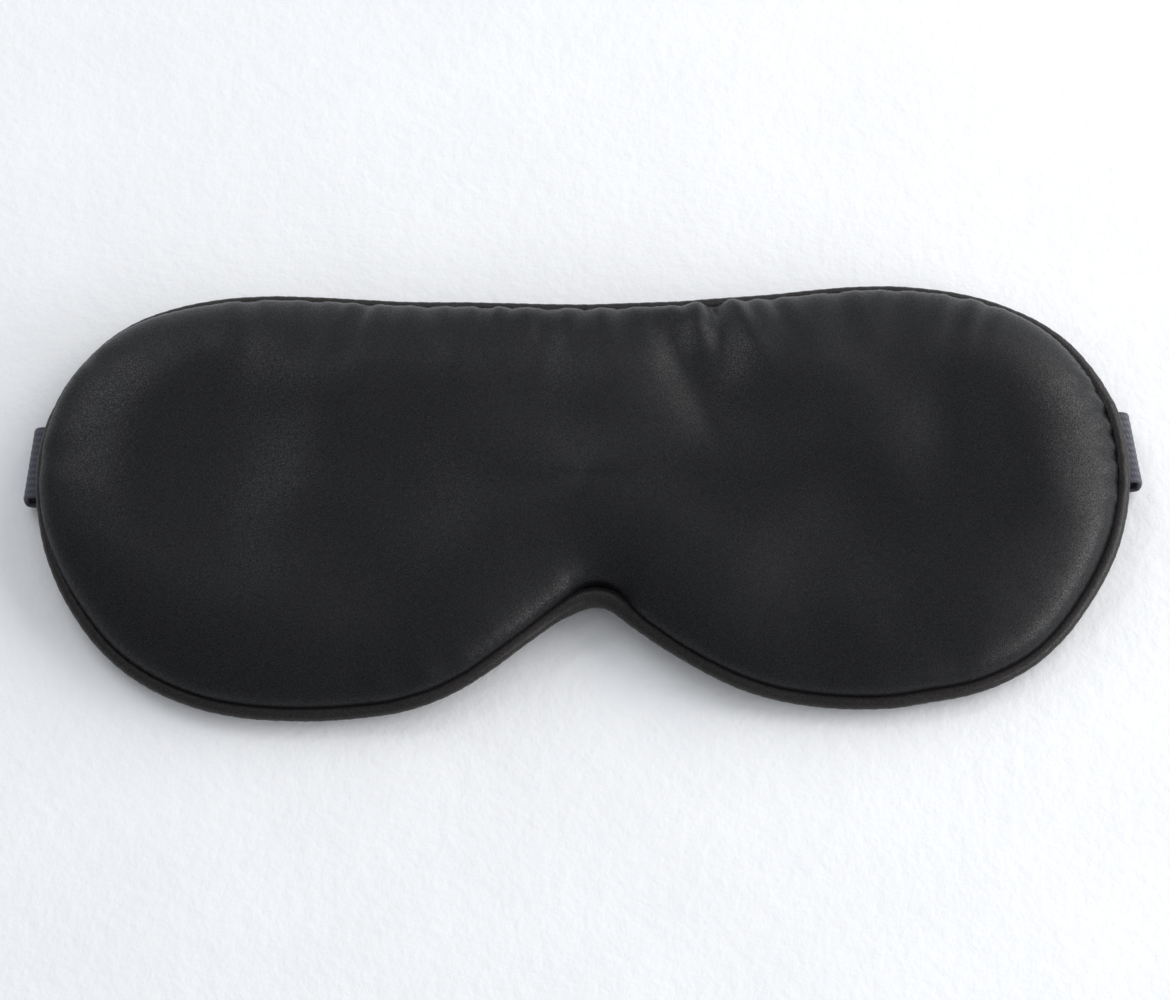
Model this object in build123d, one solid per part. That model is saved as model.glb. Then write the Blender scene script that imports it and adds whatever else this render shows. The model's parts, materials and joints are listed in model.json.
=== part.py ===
from build123d import *
import math
import os

# Padded sleep eye mask lying face-up on its own folded elastic strap.
# Millimetres. +X runs across the mask, +Y towards the forehead, +Z up out of
# the satin face. Origin: bridge centre line, half height, table plane.
# The left pieces lie at -X, the right ones at +X.

SIDES = ((-1, "left"), (1, "right"))

# ---------------------------------------------------------------- mask dimensions
MASK_H = 89.2             # overall height in Y
HALF_GAP = 0.1            # each half stops this far from the bridge line
SEAM_Z = 6.2              # height of the perimeter seam above the table

PIPE_W = 3.0              # piping width seen from the front
PIPE_H = 3.0              # piping height
PIPE_CORNER = 0.8         # bevel on the corners of the piping section
COVER_T = 0.4             # bias fabric round the filler cord
CORD_CORNER = PIPE_CORNER * 0.75 + COVER_T  # inset of the cord's bevelled corners
FLANGE_OVERLAP = 0.2      # flange starts this far inside the piping ring
FLANGE_END = 6.5          # inner edge of the piping's sewn flange
FLANGE_Z = (5.86, 6.14)   # underside and top of the flange
THREAD_EDGES = (4.6, 4.85)  # outer and inner inset of the perimeter stitch
THREAD_Z = (6.18, 6.42)   # underside and top of the perimeter stitch

PANEL_EDGE = 3.05         # satin panels start this far inside the outline
LINING_EDGE = 3.6         # blackout lining is trimmed inside the panel edge
PAD_EDGE = 7.0            # wadding starts inside the seam allowance
BACK_Z = 4.75             # underside of the satin backing
BACK_T = 0.22             # satin backing
LINING_Z = 5.05           # underside of the blackout cloth
LINING_T = 0.2
FRONT_T = 0.5             # satin face
FACE_Z = 14.5             # top of the padded face

# --------------------------------------------------------------- strap dimensions
STRAP_W = 15.0            # elastic width
STRAP_T = 0.8             # elastic thickness
STRAP_ROUND = 0.3         # rounding of the long edges
STRAP_Y0 = 1.0            # lower edge of the elastic
STRAP_Y1 = STRAP_Y0 + STRAP_W
STRAP_MID_Y = (STRAP_Y0 + STRAP_Y1) / 2
FOLD_X = 105.25           # bend axis of the elastic at each side seam
FOLD_R = 1.55             # mid-plane radius of that bend
LEFT_Z = 2.3              # mid-plane of the left elastic, upper of the two
RIGHT_Z = 1.4             # mid-plane of the right elastic, lower of the two
EXIT_Z = LEFT_Z + 2 * FOLD_R  # mid-plane of the elastic where it leaves the seam
END_X = 98.5              # inner end of the elastic caught in the seam
RISER = 80.0              # length of elastic running inwards from each fold
BEND_X = FOLD_X - RISER   # line where the riser meets the back run, either side
GAP = 0.3                 # cut-back of the elastic at its bend lines
TAIL_X = -81.0            # hemmed tip of the adjusting tail
HEM_L = 6.0
HEM_GAP = 0.05            # clearance between the hem's two layers

STITCH_R = 0.15           # half thickness of a square stitch
STITCH_ROWS = 7           # through-stitches in a line across the elastic

# -------------------------------------------------------------- slider dimensions
SLIDER_X0, SLIDER_X1 = -10.0, 4.0  # ends of the slider in X
SLIDER_MID_X = (SLIDER_X0 + SLIDER_X1) / 2
SLIDER_TOP = 3.6
SLIDER_WINDOW = STRAP_W + 0.6  # clear width between the side rails
RAIL_W = 1.8              # width of the side rails
BAR_W = 2.0               # nominal width of each of the three bars
OUTER_BAR_T = 0.9
CENTRE_BAR_T = 0.8

WRAP_R = 0.5              # inside radius of the elastic round the centre bar
WRAP_X = SLIDER_MID_X + 0.8           # axis of that wrap
WRAP_Z = LEFT_Z + STRAP_T / 2 + WRAP_R
LAP_Z = LEFT_Z + STRAP_T / 2 + 0.05   # underside of the sewn-back lap

# ------------------------------------------------------------------------ outline
# Right half of the finished edge (outside of the piping), bridge notch first,
# then round the lower lobe, the temple side and the upper lobe.
# Columns: x, y above the lowest point.
OUTLINE = [
    (0, 22.8), (5, 21.2), (11.5, 16.3), (20, 9.9), (29, 4.8), (37, 1.8), (46, 0.3),
    (54, 0.0), (63, 0.6), (71, 2.2), (78.5, 5.0), (86, 9.4), (92, 14.9), (97.8, 23.2),
    (102.6, 33.8), (105, 47.0), (104.2, 58.0), (100.6, 68.2), (95, 75.8), (88, 81.6),
    (79, 85.8), (69, 88.3), (57.5, 89.2), (46, 88.9), (35, 88.2), (23, 87.3),
    (12, 86.5), (0, 86.3),
]
HALF = [(x, y - MASK_H / 2) for x, y in OUTLINE]

# Dome levels of the padded face: (inset from the finished edge, height).
DOME = [(PANEL_EDGE, 6.25), (5.0, 8.6), (9.0, 11.8), (15.0, 13.8), (22.0, FACE_Z)]

# Wadding levels, in the same columns.
WADDING = [(PAD_EDGE, 5.3), (PAD_EDGE, 8.9), (9.6, 11.1), (15.6, 13.15),
           (22.3, FACE_Z - FRONT_T - 0.06)]


# ------------------------------------------------------------------ mask builders
def inset(dist):
    """Right-half corner list moved inside the finished edge by dist."""
    points = []
    last = len(HALF) - 1
    for i, (x, y) in enumerate(HALF):
        if i in (0, last):
            points.append((HALF_GAP, y + dist if i == 0 else y - dist))
            continue
        (ax, ay), (bx, by) = HALF[i - 1], HALF[i + 1]
        chord = math.hypot(bx - ax, by - ay)
        points.append((x - (by - ay) / chord * dist, y + (bx - ax) / chord * dist))
    return points


def polygon(points):
    return Face(Wire.make_polygon(points, close=True))


def ring_at(side, dist, z):
    """Corners of one half's outline, inset by dist, at height z."""
    return [Vector(side * x, y, z) for x, y in inset(dist)]


def stack(side, levels):
    """Closed solid through outline levels (inset, height), bottom to top."""
    rings = [ring_at(side, dist, z) for dist, z in levels]
    n = len(rings[0])
    faces = [polygon(rings[0]), polygon(rings[-1])]
    for lo, hi in zip(rings, rings[1:]):
        for i in range(n):
            j = (i + 1) % n
            # Planar strips stay whole; the others are split into triangles.
            if i == n - 1 or (lo[i] - hi[i]).cross(lo[j] - hi[j]).length < 1e-9:
                faces.append(polygon([lo[i], lo[j], hi[j], hi[i]]))
            else:
                faces.append(polygon([lo[i], lo[j], hi[j]]))
                faces.append(polygon([lo[i], hi[j], hi[i]]))
    body = Solid(Shell(faces))
    return body if body.volume > 0 else -body


def plate(side, dist, z0, z1):
    """Flat layer cut to the outline, inset by dist."""
    return extrude(polygon(ring_at(side, dist, z0)), amount=z1 - z0, dir=(0, 0, 1))


# ----------------------------------------------------------------- strap builders
def flat(x0, x1, z_mid):
    """Straight length of elastic with softened long edges."""
    lo, hi = min(x0, x1), max(x0, x1)
    body = Pos((lo + hi) / 2, STRAP_MID_Y, z_mid) * Box(hi - lo, STRAP_W, STRAP_T)
    return fillet(body.edges().filter_by(Axis.X), STRAP_ROUND)


def strap_wide(sketch):
    """Turn an X-Z outline into a piece as wide as the elastic."""
    return extrude(Plane.XZ.offset(-STRAP_Y1) * sketch, amount=STRAP_W)


def rect(x0, x1, z0, z1):
    return Pos((x0 + x1) / 2, (z0 + z1) / 2) * Rectangle(abs(x1 - x0), abs(z1 - z0))


def at(sketch, x, z):
    return sketch.moved(Location((x, z)))


def block(x0, x1, y0, y1, z0, z1):
    """Box between two corners."""
    return Pos((x0 + x1) / 2, (y0 + y1) / 2, (z0 + z1) / 2) * Box(x1 - x0, y1 - y0, z1 - z0)


def add_stitches(thread, columns, y0, y1, z0, z1):
    """Add rows of upright stitches at each x in columns, from y0 to y1."""
    for i in range(STITCH_ROWS):
        y = y0 + i * (y1 - y0) / (STITCH_ROWS - 1)
        for x in columns:
            thread = thread + block(x - STITCH_R, x + STITCH_R,
                                    y - STITCH_R, y + STITCH_R, z0, z1)
    return thread


# -------------------------------------------------------------------- mask pieces
def front_panel(side):
    """Satin face: even sheet over the dome."""
    edge, edge_z = DOME[0]
    inner = [(edge - 0.5, edge_z - 0.9)]
    inner += [(dist + 0.35, z - FRONT_T) for dist, z in DOME[1:-1]]
    inner += [(DOME[-1][0], FACE_Z - FRONT_T)]
    return stack(side, [(PANEL_EDGE, SEAM_Z)] + DOME) - stack(side, inner)


def blackout_lining(side):
    """Blackout cloth above the backing, relieved over the sewn strap."""
    relief = Pos(side * 103, STRAP_MID_Y, LINING_Z) * Box(9.8, STRAP_W + 0.4, 2)
    return plate(side, LINING_EDGE, LINING_Z, LINING_Z + LINING_T) - relief


def pipe_ring(side, margin, corner):
    """Eight-sided ring inside the piping section, margin in from its sides.

    corner is how far the bevelled corners start from the piping's sides.
    """
    z0, z1 = SEAM_Z - PIPE_H / 2, SEAM_Z + PIPE_H / 2
    overcut = 0.01
    outer = [(corner, z0 + margin), (margin, z0 + corner),
             (margin, z1 - corner), (corner, z1 - margin)]
    hole = [(PIPE_W - corner, z0 + margin - overcut), (PIPE_W - margin, z0 + corner),
            (PIPE_W - margin, z1 - corner), (PIPE_W - corner, z1 - margin + overcut)]
    return stack(side, outer) - stack(side, hole)


def piping(side):
    """Bias cover with its flange, and filler cord, both slotted for the strap."""
    slot_h = 10
    slot_top = EXIT_Z + STRAP_T / 2 + 0.04
    slot = Pos(side * 102, STRAP_MID_Y, slot_top - slot_h / 2) * \
        Box(14, STRAP_W + 0.3, slot_h)
    rim = pipe_ring(side, 0.0, PIPE_CORNER)
    cord = pipe_ring(side, COVER_T, CORD_CORNER)
    flange = plate(side, PIPE_W - FLANGE_OVERLAP, *FLANGE_Z) - \
        plate(side, FLANGE_END, 5.0, 7.0)
    cover = rim + flange
    return cover - cord - slot, cord - slot


def seam_thread(side):
    """Perimeter lockstitch lying on the flange."""
    outer, inner = THREAD_EDGES
    return plate(side, outer, *THREAD_Z) - plate(side, inner, 6.0, 6.6)


# ------------------------------------------------------------------- strap pieces
def strap_bartack(side):
    """Zigzag bar tack sewn into the elastic's end, under the flange."""
    z = EXIT_Z + STRAP_T / 2 - 0.04
    strokes, margin, thread_w = 9, 1.2, 0.2
    zigzag = [(side * (99.4 if i % 2 else 101.4),
               STRAP_Y0 + margin + i * (STRAP_W - 2 * margin) / strokes)
              for i in range(strokes + 1)]
    shifted = [(x + side * thread_w, y) for x, y in zigzag]
    face = polygon([Vector(x, y, z) for x, y in zigzag + shifted[::-1]])
    return extrude(face, amount=0.09, dir=(0, 0, 1))


def fold_outline(radius, z_low, z_high):
    """Two circles, joined by a rectangle where their centres differ."""
    outline = at(Circle(radius), 0, z_low) + at(Circle(radius), 0, z_high)
    if z_high - z_low > 0.01:
        outline = outline + rect(-radius, radius, z_low, z_high)
    return outline


def strap_fold(side, z_mid):
    """U-turn from the seam exit down to the flat run."""
    centres = (z_mid + FOLD_R, EXIT_Z - FOLD_R)
    sketch = fold_outline(FOLD_R + STRAP_T / 2, *centres) - \
        fold_outline(FOLD_R - STRAP_T / 2, *centres)
    sketch = sketch & rect(0, side * 4, -3, 10)
    return strap_wide(at(sketch, side * FOLD_X, 0))


def strap_riser(side, z_mid):
    """Flat run between the fold and the bend line."""
    return flat(side * (FOLD_X - GAP), side * (BEND_X + GAP), z_mid)


def strap_left_back():
    """Left back run: under the slider's centre bar, round it and back as a lap."""
    z0, z1 = LEFT_Z - STRAP_T / 2, LEFT_Z + STRAP_T / 2
    over_z = WRAP_Z + WRAP_R
    slope_x0, slope_x1 = SLIDER_MID_X - 7.0, SLIDER_MID_X - 2.4
    sketch = rect(-BEND_X + GAP, WRAP_X, z0, z1)
    wrap = (Circle(WRAP_R + STRAP_T) - Circle(WRAP_R)) & rect(0, 3, -3, 3)
    sketch = sketch + at(wrap, WRAP_X, WRAP_Z)
    sketch = sketch + rect(slope_x1 - 0.1, WRAP_X, over_z, over_z + STRAP_T)
    sketch = sketch + make_face(Polyline(
        (slope_x1, over_z), (slope_x1, over_z + STRAP_T),
        (slope_x0, LAP_Z + STRAP_T), (slope_x0, LAP_Z), close=True))
    sketch = sketch + rect(SLIDER_MID_X - 17.0, slope_x0 + 0.1, LAP_Z, LAP_Z + STRAP_T)
    return strap_wide(sketch)


def slider_stitching():
    """Box stitching that closes the wrap, through both layers."""
    z0, z1 = LEFT_Z - STRAP_T / 2 + 0.1, LAP_Z + STRAP_T + 0.08
    x0, x1 = SLIDER_MID_X - 15.5, SLIDER_MID_X - 9.0
    y0, y1 = STRAP_Y0 + 2.0, STRAP_Y1 - 2.0
    r = STITCH_R
    thread = block(x0 - r, x1 + r, y0 - r, y1 + r, z1 - 0.3, z1) - \
        block(x0 + r, x1 - r, y0 + r, y1 - r, z1 - 1, z1 + 1)
    return add_stitches(thread, (x0, x1), y0, y1, z0, z1 - 0.1)


def strap_right_back():
    """Right back run with the adjusting tail and its hemmed tip."""
    z0, z1 = RIGHT_Z - STRAP_T / 2, RIGHT_Z + STRAP_T / 2
    tip_r = STRAP_T + HEM_GAP / 2
    tip_x = TAIL_X + tip_r
    sketch = rect(tip_x, BEND_X - GAP, z0, z1)
    sketch = sketch + rect(tip_x, TAIL_X + HEM_L, z0 - HEM_GAP - STRAP_T, z0 - HEM_GAP)
    tip = (Circle(tip_r) - Circle(HEM_GAP / 2)) & rect(-3, 0, -3, 3)
    sketch = sketch + at(tip, tip_x, z0 - HEM_GAP / 2)
    return strap_wide(sketch)


def hem_stitching():
    """Line of stitching across the hem."""
    x = TAIL_X + 4.5
    z0 = RIGHT_Z - STRAP_T / 2 - HEM_GAP - STRAP_T + 0.05
    z1 = RIGHT_Z + STRAP_T / 2 - 0.02
    thread = block(x - STITCH_R, x + STITCH_R, STRAP_Y0 + 1.6, STRAP_Y1 - 1.6, z0, z0 + 0.3)
    return add_stitches(thread, (x,), STRAP_Y0 + 1.8, STRAP_Y1 - 1.8, z0 + 0.1, z1)


# ------------------------------------------------------------------------- slider
def slider_rail(end):
    """Side rail at the low-Y (-1) or high-Y (1) end, its outer face softened."""
    rail = Pos(SLIDER_MID_X, STRAP_MID_Y + end * (SLIDER_WINDOW / 2 + RAIL_W / 2),
               SLIDER_TOP / 2) * Box(SLIDER_X1 - SLIDER_X0, RAIL_W, SLIDER_TOP)
    rail = fillet(rail.edges().filter_by(Axis.Y), 1.2)
    return fillet(rail.edges().group_by(Axis.Y)[0 if end < 0 else -1], 0.5)


def slider_bar(x, z_mid, width, thickness):
    """Bar along Y, long enough to run into both rails."""
    body = Pos(x, STRAP_MID_Y, z_mid) * Box(width, SLIDER_WINDOW + 1.0, thickness)
    return fillet(body.edges().filter_by(Axis.Y), 0.25)


def slider():
    """One-piece slider: two low outer bars and a raised centre bar."""
    body = slider_rail(-1) + slider_rail(1)
    for x in (SLIDER_X0 + BAR_W / 2, SLIDER_X1 - BAR_W / 2):
        body = body + slider_bar(x, OUTER_BAR_T / 2, BAR_W - 0.2, OUTER_BAR_T)
    return body + slider_bar(SLIDER_MID_X, SLIDER_TOP - CENTRE_BAR_T / 2,
                             BAR_W, CENTRE_BAR_T)


# ------------------------------------------------------------------------- export
def save(shape, name):
    """Write the largest solid of a shape."""
    solid = max(shape.solids(), key=lambda s: s.volume)
    solid.label = name
    export_step(solid, "parts/" + name + ".step")


os.makedirs("parts", exist_ok=True)

for side, tag in SIDES:
    save(front_panel(side), "front_panel_" + tag)
    save(stack(side, WADDING), "wadding_" + tag)
    save(plate(side, PANEL_EDGE, BACK_Z, BACK_Z + BACK_T), "back_panel_" + tag)
    save(blackout_lining(side), "blackout_lining_" + tag)
    cover, cord = piping(side)
    save(cover, "piping_cover_" + tag)
    save(cord, "piping_cord_" + tag)
    save(seam_thread(side), "seam_thread_" + tag)

    strap_z = LEFT_Z if side < 0 else RIGHT_Z
    save(flat(side * END_X, side * (FOLD_X - 0.05), EXIT_Z), f"strap_{tag}_end")
    save(strap_bartack(side), "strap_bartack_" + tag)
    save(strap_fold(side, strap_z), f"strap_{tag}_fold")
    save(strap_riser(side, strap_z), f"strap_{tag}_riser")

save(strap_left_back(), "strap_left_back")
save(slider_stitching(), "slider_stitching")
save(strap_right_back(), "strap_right_back")
save(hem_stitching(), "hem_stitching")
save(slider(), "slider")
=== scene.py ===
"""A padded satin sleep mask with piping, a ribbed elastic strap and a slider.

It lies face up on the table, z = 0. The left lobe is at -x, the brow edge at +y and
the nose notch at -y. The elastic folds under both ends and runs beneath the mask.
Lengths here are millimetres unless marked; MM turns them into Blender's metres.
"""
import json
import math
import bmesh
import bpy
import numpy as np
from mathutils import Matrix, Vector
from mathutils.bvhtree import BVHTree
from mathutils.geometry import delaunay_2d_cdt


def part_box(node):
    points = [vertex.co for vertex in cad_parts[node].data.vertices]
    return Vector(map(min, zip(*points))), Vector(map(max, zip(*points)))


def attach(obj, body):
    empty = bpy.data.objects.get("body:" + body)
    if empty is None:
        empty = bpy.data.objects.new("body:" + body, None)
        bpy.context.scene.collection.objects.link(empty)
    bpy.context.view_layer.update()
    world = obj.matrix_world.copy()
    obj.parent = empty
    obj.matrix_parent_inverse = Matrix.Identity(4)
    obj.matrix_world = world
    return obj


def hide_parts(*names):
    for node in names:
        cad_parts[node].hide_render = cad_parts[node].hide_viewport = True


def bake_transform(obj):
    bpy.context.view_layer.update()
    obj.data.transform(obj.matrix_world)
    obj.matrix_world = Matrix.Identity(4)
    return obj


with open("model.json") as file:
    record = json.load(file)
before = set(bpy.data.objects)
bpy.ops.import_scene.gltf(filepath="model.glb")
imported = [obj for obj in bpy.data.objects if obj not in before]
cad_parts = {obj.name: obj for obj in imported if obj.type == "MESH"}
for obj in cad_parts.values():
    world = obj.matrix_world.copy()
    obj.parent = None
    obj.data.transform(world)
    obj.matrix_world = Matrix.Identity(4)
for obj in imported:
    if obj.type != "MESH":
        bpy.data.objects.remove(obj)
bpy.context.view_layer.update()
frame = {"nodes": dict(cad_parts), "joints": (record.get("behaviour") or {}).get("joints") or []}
MM = 0.001
TURN = 2 * math.pi


# ---------------------------------------------------------------- sizes from the frame
def mid_z(name):
    lo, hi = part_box(name)
    return (lo[2] + hi[2]) / 2 / MM


def joint_x(name):
    joints = {joint["name"]: joint for joint in frame["joints"]}
    return abs(joints[name]["pos_m"][0]) / MM


SEAM_Z = mid_z("piping_cover_left")
TOP_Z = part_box("front_panel_left")[1][2] / MM
end_lo, end_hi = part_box("strap_left_end")
STRAP_Y0, STRAP_Y1 = end_lo[1] / MM, end_hi[1] / MM
STRAP_Y = (STRAP_Y0 + STRAP_Y1) / 2
END_Z = mid_z("strap_left_end")              # where the elastic leaves the seam
LEFT_Z, RIGHT_Z = mid_z("strap_left_riser"), mid_z("strap_right_riser")
riser_lo, riser_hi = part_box("strap_left_riser")
STRAP_THICK = (riser_hi[2] - riser_lo[2]) / MM
TAIL_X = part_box("strap_right_back")[0][0] / MM
BACK_X = joint_x("strap_open")

# Finished edge of the mask, outside of the piping: x, y, clockwise from the left temple.
OUTLINE = [
    (-103.7, 21.0), (-100.9, 27.9), (-96.9, 34.1), (-91.8, 39.4), (-85.6, 43.3), (-78.6, 45.7),
    (-71.2, 47.1), (-63.7, 47.6), (-56.3, 47.5), (-48.9, 47.0), (-41.6, 46.3), (-34.2, 45.6),
    (-26.8, 45.0), (-19.4, 44.5), (-12.0, 44.1), (-4.6, 43.8), (2.8, 43.7), (10.2, 43.9),
    (17.6, 44.2), (25.0, 44.9), (32.3, 45.8), (39.6, 46.7), (47.0, 47.5), (54.4, 48.0),
    (61.9, 47.9), (69.4, 47.0), (76.8, 45.3), (83.7, 42.6), (89.8, 38.8), (95.0, 33.8),
    (99.0, 27.8), (102.0, 21.1), (103.7, 13.9), (104.2, 6.4), (103.5, -1.1), (101.6, -8.4),
    (98.5, -15.3), (94.5, -21.6), (89.9, -27.4), (84.4, -32.4), (78.0, -36.1), (70.9, -38.7),
    (63.7, -39.9), (56.4, -41.0), (48.9, -41.1), (41.5, -40.4), (34.2, -39.2), (27.3, -37.1),
    (20.7, -33.9), (14.3, -29.9), (8.1, -25.3), (2.1, -20.9), (-4.5, -22.9), (-10.8, -27.4),
    (-17.1, -32.2), (-23.5, -36.4), (-30.2, -39.3), (-37.0, -40.9), (-44.2, -41.5),
    (-51.6, -41.9), (-59.2, -41.7), (-66.7, -40.8), (-74.1, -39.0), (-80.9, -36.1),
    (-87.1, -32.2), (-92.5, -27.3), (-97.0, -21.5), (-100.7, -15.1), (-103.4, -8.2),
    (-105.1, -1.0), (-105.8, 6.3), (-105.4, 13.7)]
SHIFT_X, SHIFT_Y = 0.8, -3.0                 # places the outline in the frame
EDGE_COUNT = 720
PANEL_INSET = 2.55                           # where the satin meets the piping

# Cross-section of the stuffed face: depth in from the piping, rise, roll out over the seam.
ROLL_DEPTH, ROLL_RISE, ROLL_OUT = np.array([
    (0, 0, 0), (0.5, 0.85, 0.75), (1, 1.65, 1.25), (1.5, 2.4, 1.5), (2, 3.1, 1.58),
    (3, 4.15, 1.48), (4, 4.95, 1.25), (6, 6.05, 0.85), (8, 6.85, 0.55), (11, 7.65, 0.25),
    (14, 8.15, 0.08), (18, 8.55, 0), (23, 8.7, 0), (60, 8.7, 0)]).T

# Sewn puckers: ridges with a hollow on each side, starting in the seam.
# x, y near the seam, half width, reach, height, sideways drift per mm of depth
PUCKERS = [
    (-65, 46, 2.6, 12, 0.42, 0.00), (-52, 46, 2.2, 10, 0.40, 0.10),
    (-41, 45, 2.0, 13, 0.55, -0.25), (-30, 44, 2.4, 11, 0.50, 0.05),
    (-18.5, 43.5, 2.4, 15, 0.50, 0.05), (-13.5, 43, 1.7, 9, 0.40, 0.0),
    (-6.0, 43, 2.6, 15, 0.50, -0.05), (1.0, 43, 1.8, 9, 0.50, 0.0),
    (7.5, 43, 2.2, 10, 0.45, 0.1), (20.5, 43.5, 2.2, 9, 0.50, 0.0),
    (25.8, 44, 3.0, 19, 2.1, 0.02), (31.5, 44.5, 2.2, 10, 0.40, 0.0),
    (37, 45, 1.9, 10, 0.50, 0.1), (50, 46, 2.6, 11, 0.40, 0.0),
    (62, 46.5, 2.3, 9, 0.35, 0.0), (74, 44, 2.2, 10, 0.45, 0.1),
    (80, 42, 2.0, 9, 0.40, 0.1), (100, 22, 1.6, 7, 0.50, 0.0),
    (102, 17, 1.4, 7, 0.55, 0.0), (103, 12.5, 1.4, 7, 0.55, 0.1),
    (103, 8, 1.5, 7, 0.50, 0.0), (103, 2, 1.6, 6, 0.40, 0.0),
    (101, -6, 1.9, 6, 0.35, 0.0), (-33, -41, 2.4, 7, 0.28, 0.2),
    (-25, -38, 2.2, 6, 0.20, 0.2), (-9, -28, 2.6, 6, 0.20, 0.3),
    (13, -31, 2.4, 6, 0.20, -0.3), (-96, 32, 2.8, 8, 0.30, 0.0),
    (-103, 10, 2.5, 7, 0.30, 0.0), (-75, -40, 2.8, 8, 0.25, 0.0),
    (70, -40, 2.8, 8, 0.25, 0.0)]

# Uneven filling: height, frequency along x and y, phase along x and y.
LUMPS = [(0.34, 0.052, 0.061, 0.4, 1.2), (0.26, 0.083, 0.047, 2.1, 0.2),
         (0.16, 0.121, 0.108, 1.1, 2.6), (0.09, 0.21, 0.17, 0.2, 0.9)]

# Long ridges (+) and hollows (-) near the bridge: height, a point x, y on the line,
# the line's normal x, y, half width, centre y, half length in y, depth of full height.
FLEX_FOLDS = [(-0.50, 3, 0, 1, 0, 8, 4, 26, 14), (0.55, -10, 0, 1, 0, 6, 26, 16, 10),
              (1.9, 23, 18, 0.92, 0.38, 5.2, 25, 17, 10),
              (-0.85, 54, 8, 0.88, 0.45, 9.0, 9, 20, 12)]

# Cloth simulation that fills out the face.
CLOTH_FRAMES = 20
CLOTH = dict(
    quality=6, mass=0.25, tension_stiffness=30, compression_stiffness=30,
    shear_stiffness=12, bending_stiffness=6.0, tension_damping=8, bending_damping=1.0,
    air_damping=2, vertex_group_mass="pin", shrink_min=-0.008, use_pressure=True,
    uniform_pressure_force=4.0)
MAX_DRIFT = 3.0                              # furthest a point may move
PLAN_SHARE = 0.55                            # share of the sideways movement kept

BACK_THICK = 0.32
PIPE_RADIUS = 1.5
PIPE_COUNT, PIPE_SIDES = 900, 20
RIBS = 11                                    # raised ribs across the elastic
RIB_HEIGHT = 0.075
STRAP_HALF = STRAP_THICK / 2 - 0.012
STRAP_COLUMNS = 67


# ---------------------------------------------------------------- curves and falloffs
def ease(start, end, value):
    """Smooth rise from 0 at start to 1 at end."""
    t = np.clip((np.asarray(value, float) - start) / (end - start), 0, 1)
    return t * t * (3 - 2 * t)


def bell(value, centre, width):
    return np.exp(-((value - centre) / width) ** 2)


def closed_spline(points, steps):
    """Closed Catmull-Rom curve through the points."""
    p = np.asarray(points, float)
    a, b, c, d = (np.roll(p, shift, 0)[:, None, :] for shift in (1, 0, -1, -2))
    t = (np.arange(steps) / steps)[None, :, None]
    curve = 0.5 * (2 * b + (c - a) * t + (2 * a - 5 * b + 4 * c - d) * t ** 2
                   + (3 * b - a - 3 * c + d) * t ** 3)
    return curve.reshape(-1, p.shape[1])


def arc_lengths(points):
    return np.r_[0, np.cumsum(np.linalg.norm(np.diff(points, axis=0), axis=1))]


def resample(loop, count):
    """Evenly spaced points round a closed loop, and the loop's length."""
    ring = np.vstack([loop, loop[:1]])
    lengths = arc_lengths(ring)
    at = np.linspace(0, lengths[-1], count, endpoint=False)
    columns = [np.interp(at, lengths, ring[:, k]) for k in range(ring.shape[1])]
    return np.stack(columns, 1), lengths[-1]


def tangents(loop):
    along = np.roll(loop, -1, 0) - np.roll(loop, 1, 0)
    return along / np.linalg.norm(along, axis=1)[:, None]


def inward(tangent):
    """Normal into the outline, which runs clockwise."""
    return np.stack([tangent[:, 1], -tangent[:, 0]], 1)


shifted = np.array([(x + SHIFT_X, y + SHIFT_Y) for x, y in OUTLINE])
EDGE, PERIMETER = resample(closed_spline(shifted, 8), EDGE_COUNT)
TANGENT = tangents(EDGE)
NORMAL = inward(TANGENT)
ARC = np.arange(EDGE_COUNT) / EDGE_COUNT * PERIMETER


def inset(distance, count):
    return resample(EDGE + NORMAL * distance, count)[0]


def nearest_edge(points):
    return ((points[:, None, :] - EDGE[None]) ** 2).sum(2).argmin(1)


def edge_distance(points):
    """Distance inside the finished edge, and position along it."""
    nearest = nearest_edge(points)
    offset = points - EDGE[nearest]
    along = (offset * TANGENT[nearest]).sum(1)
    side = (offset * NORMAL[nearest]).sum(1)
    square = (offset ** 2).sum(1)
    gap = np.sqrt(np.maximum(square - np.minimum(along ** 2, 1.0), 0))
    return np.where(side >= 0, gap, -gap), ARC[nearest] + along


def arc_from(position, start):
    """Signed distance along the edge, the short way round."""
    return (position - start + PERIMETER / 2) % PERIMETER - PERIMETER / 2


NOTCH_ARC = ARC[nearest_edge(np.array([[1.0 + SHIFT_X, -20.5 + SHIFT_Y]]))[0]]


def notch(position, width):
    """1 at the peak of the nose notch, fading along the edge."""
    return bell(arc_from(position, NOTCH_ARC), 0, width)


def rim_z(x, y):
    """Seam height: held up by the elastic in the middle, drooping over the lobes."""
    off = y - STRAP_Y
    droop = 3.3 * ease(10, 48, -off) + 2.2 * ease(10, 36, off)
    return SEAM_Z - 0.1 - droop * ease(12, 46, np.abs(x))


# ---------------------------------------------------------------- mesh helpers
def shade_smooth(mesh):
    mesh.polygons.foreach_set("use_smooth", [True] * len(mesh.polygons))


def edit_faces(ob, operation):
    bm = bmesh.new()
    bm.from_mesh(ob.data)
    operation(bm, faces=bm.faces)
    bm.to_mesh(ob.data)
    bm.free()
    shade_smooth(ob.data)


def mesh_object(name, verts, faces, orient=True):
    mesh = bpy.data.meshes.new(name)
    mesh.from_pydata([tuple(v) for v in np.asarray(verts, float) * MM], [],
                     [tuple(int(i) for i in f) for f in faces])
    mesh.validate()
    shade_smooth(mesh)
    ob = bpy.data.objects.new(name, mesh)
    bpy.context.collection.objects.link(ob)
    if orient:
        edit_faces(ob, bmesh.ops.recalc_face_normals)
    return ob


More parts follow.
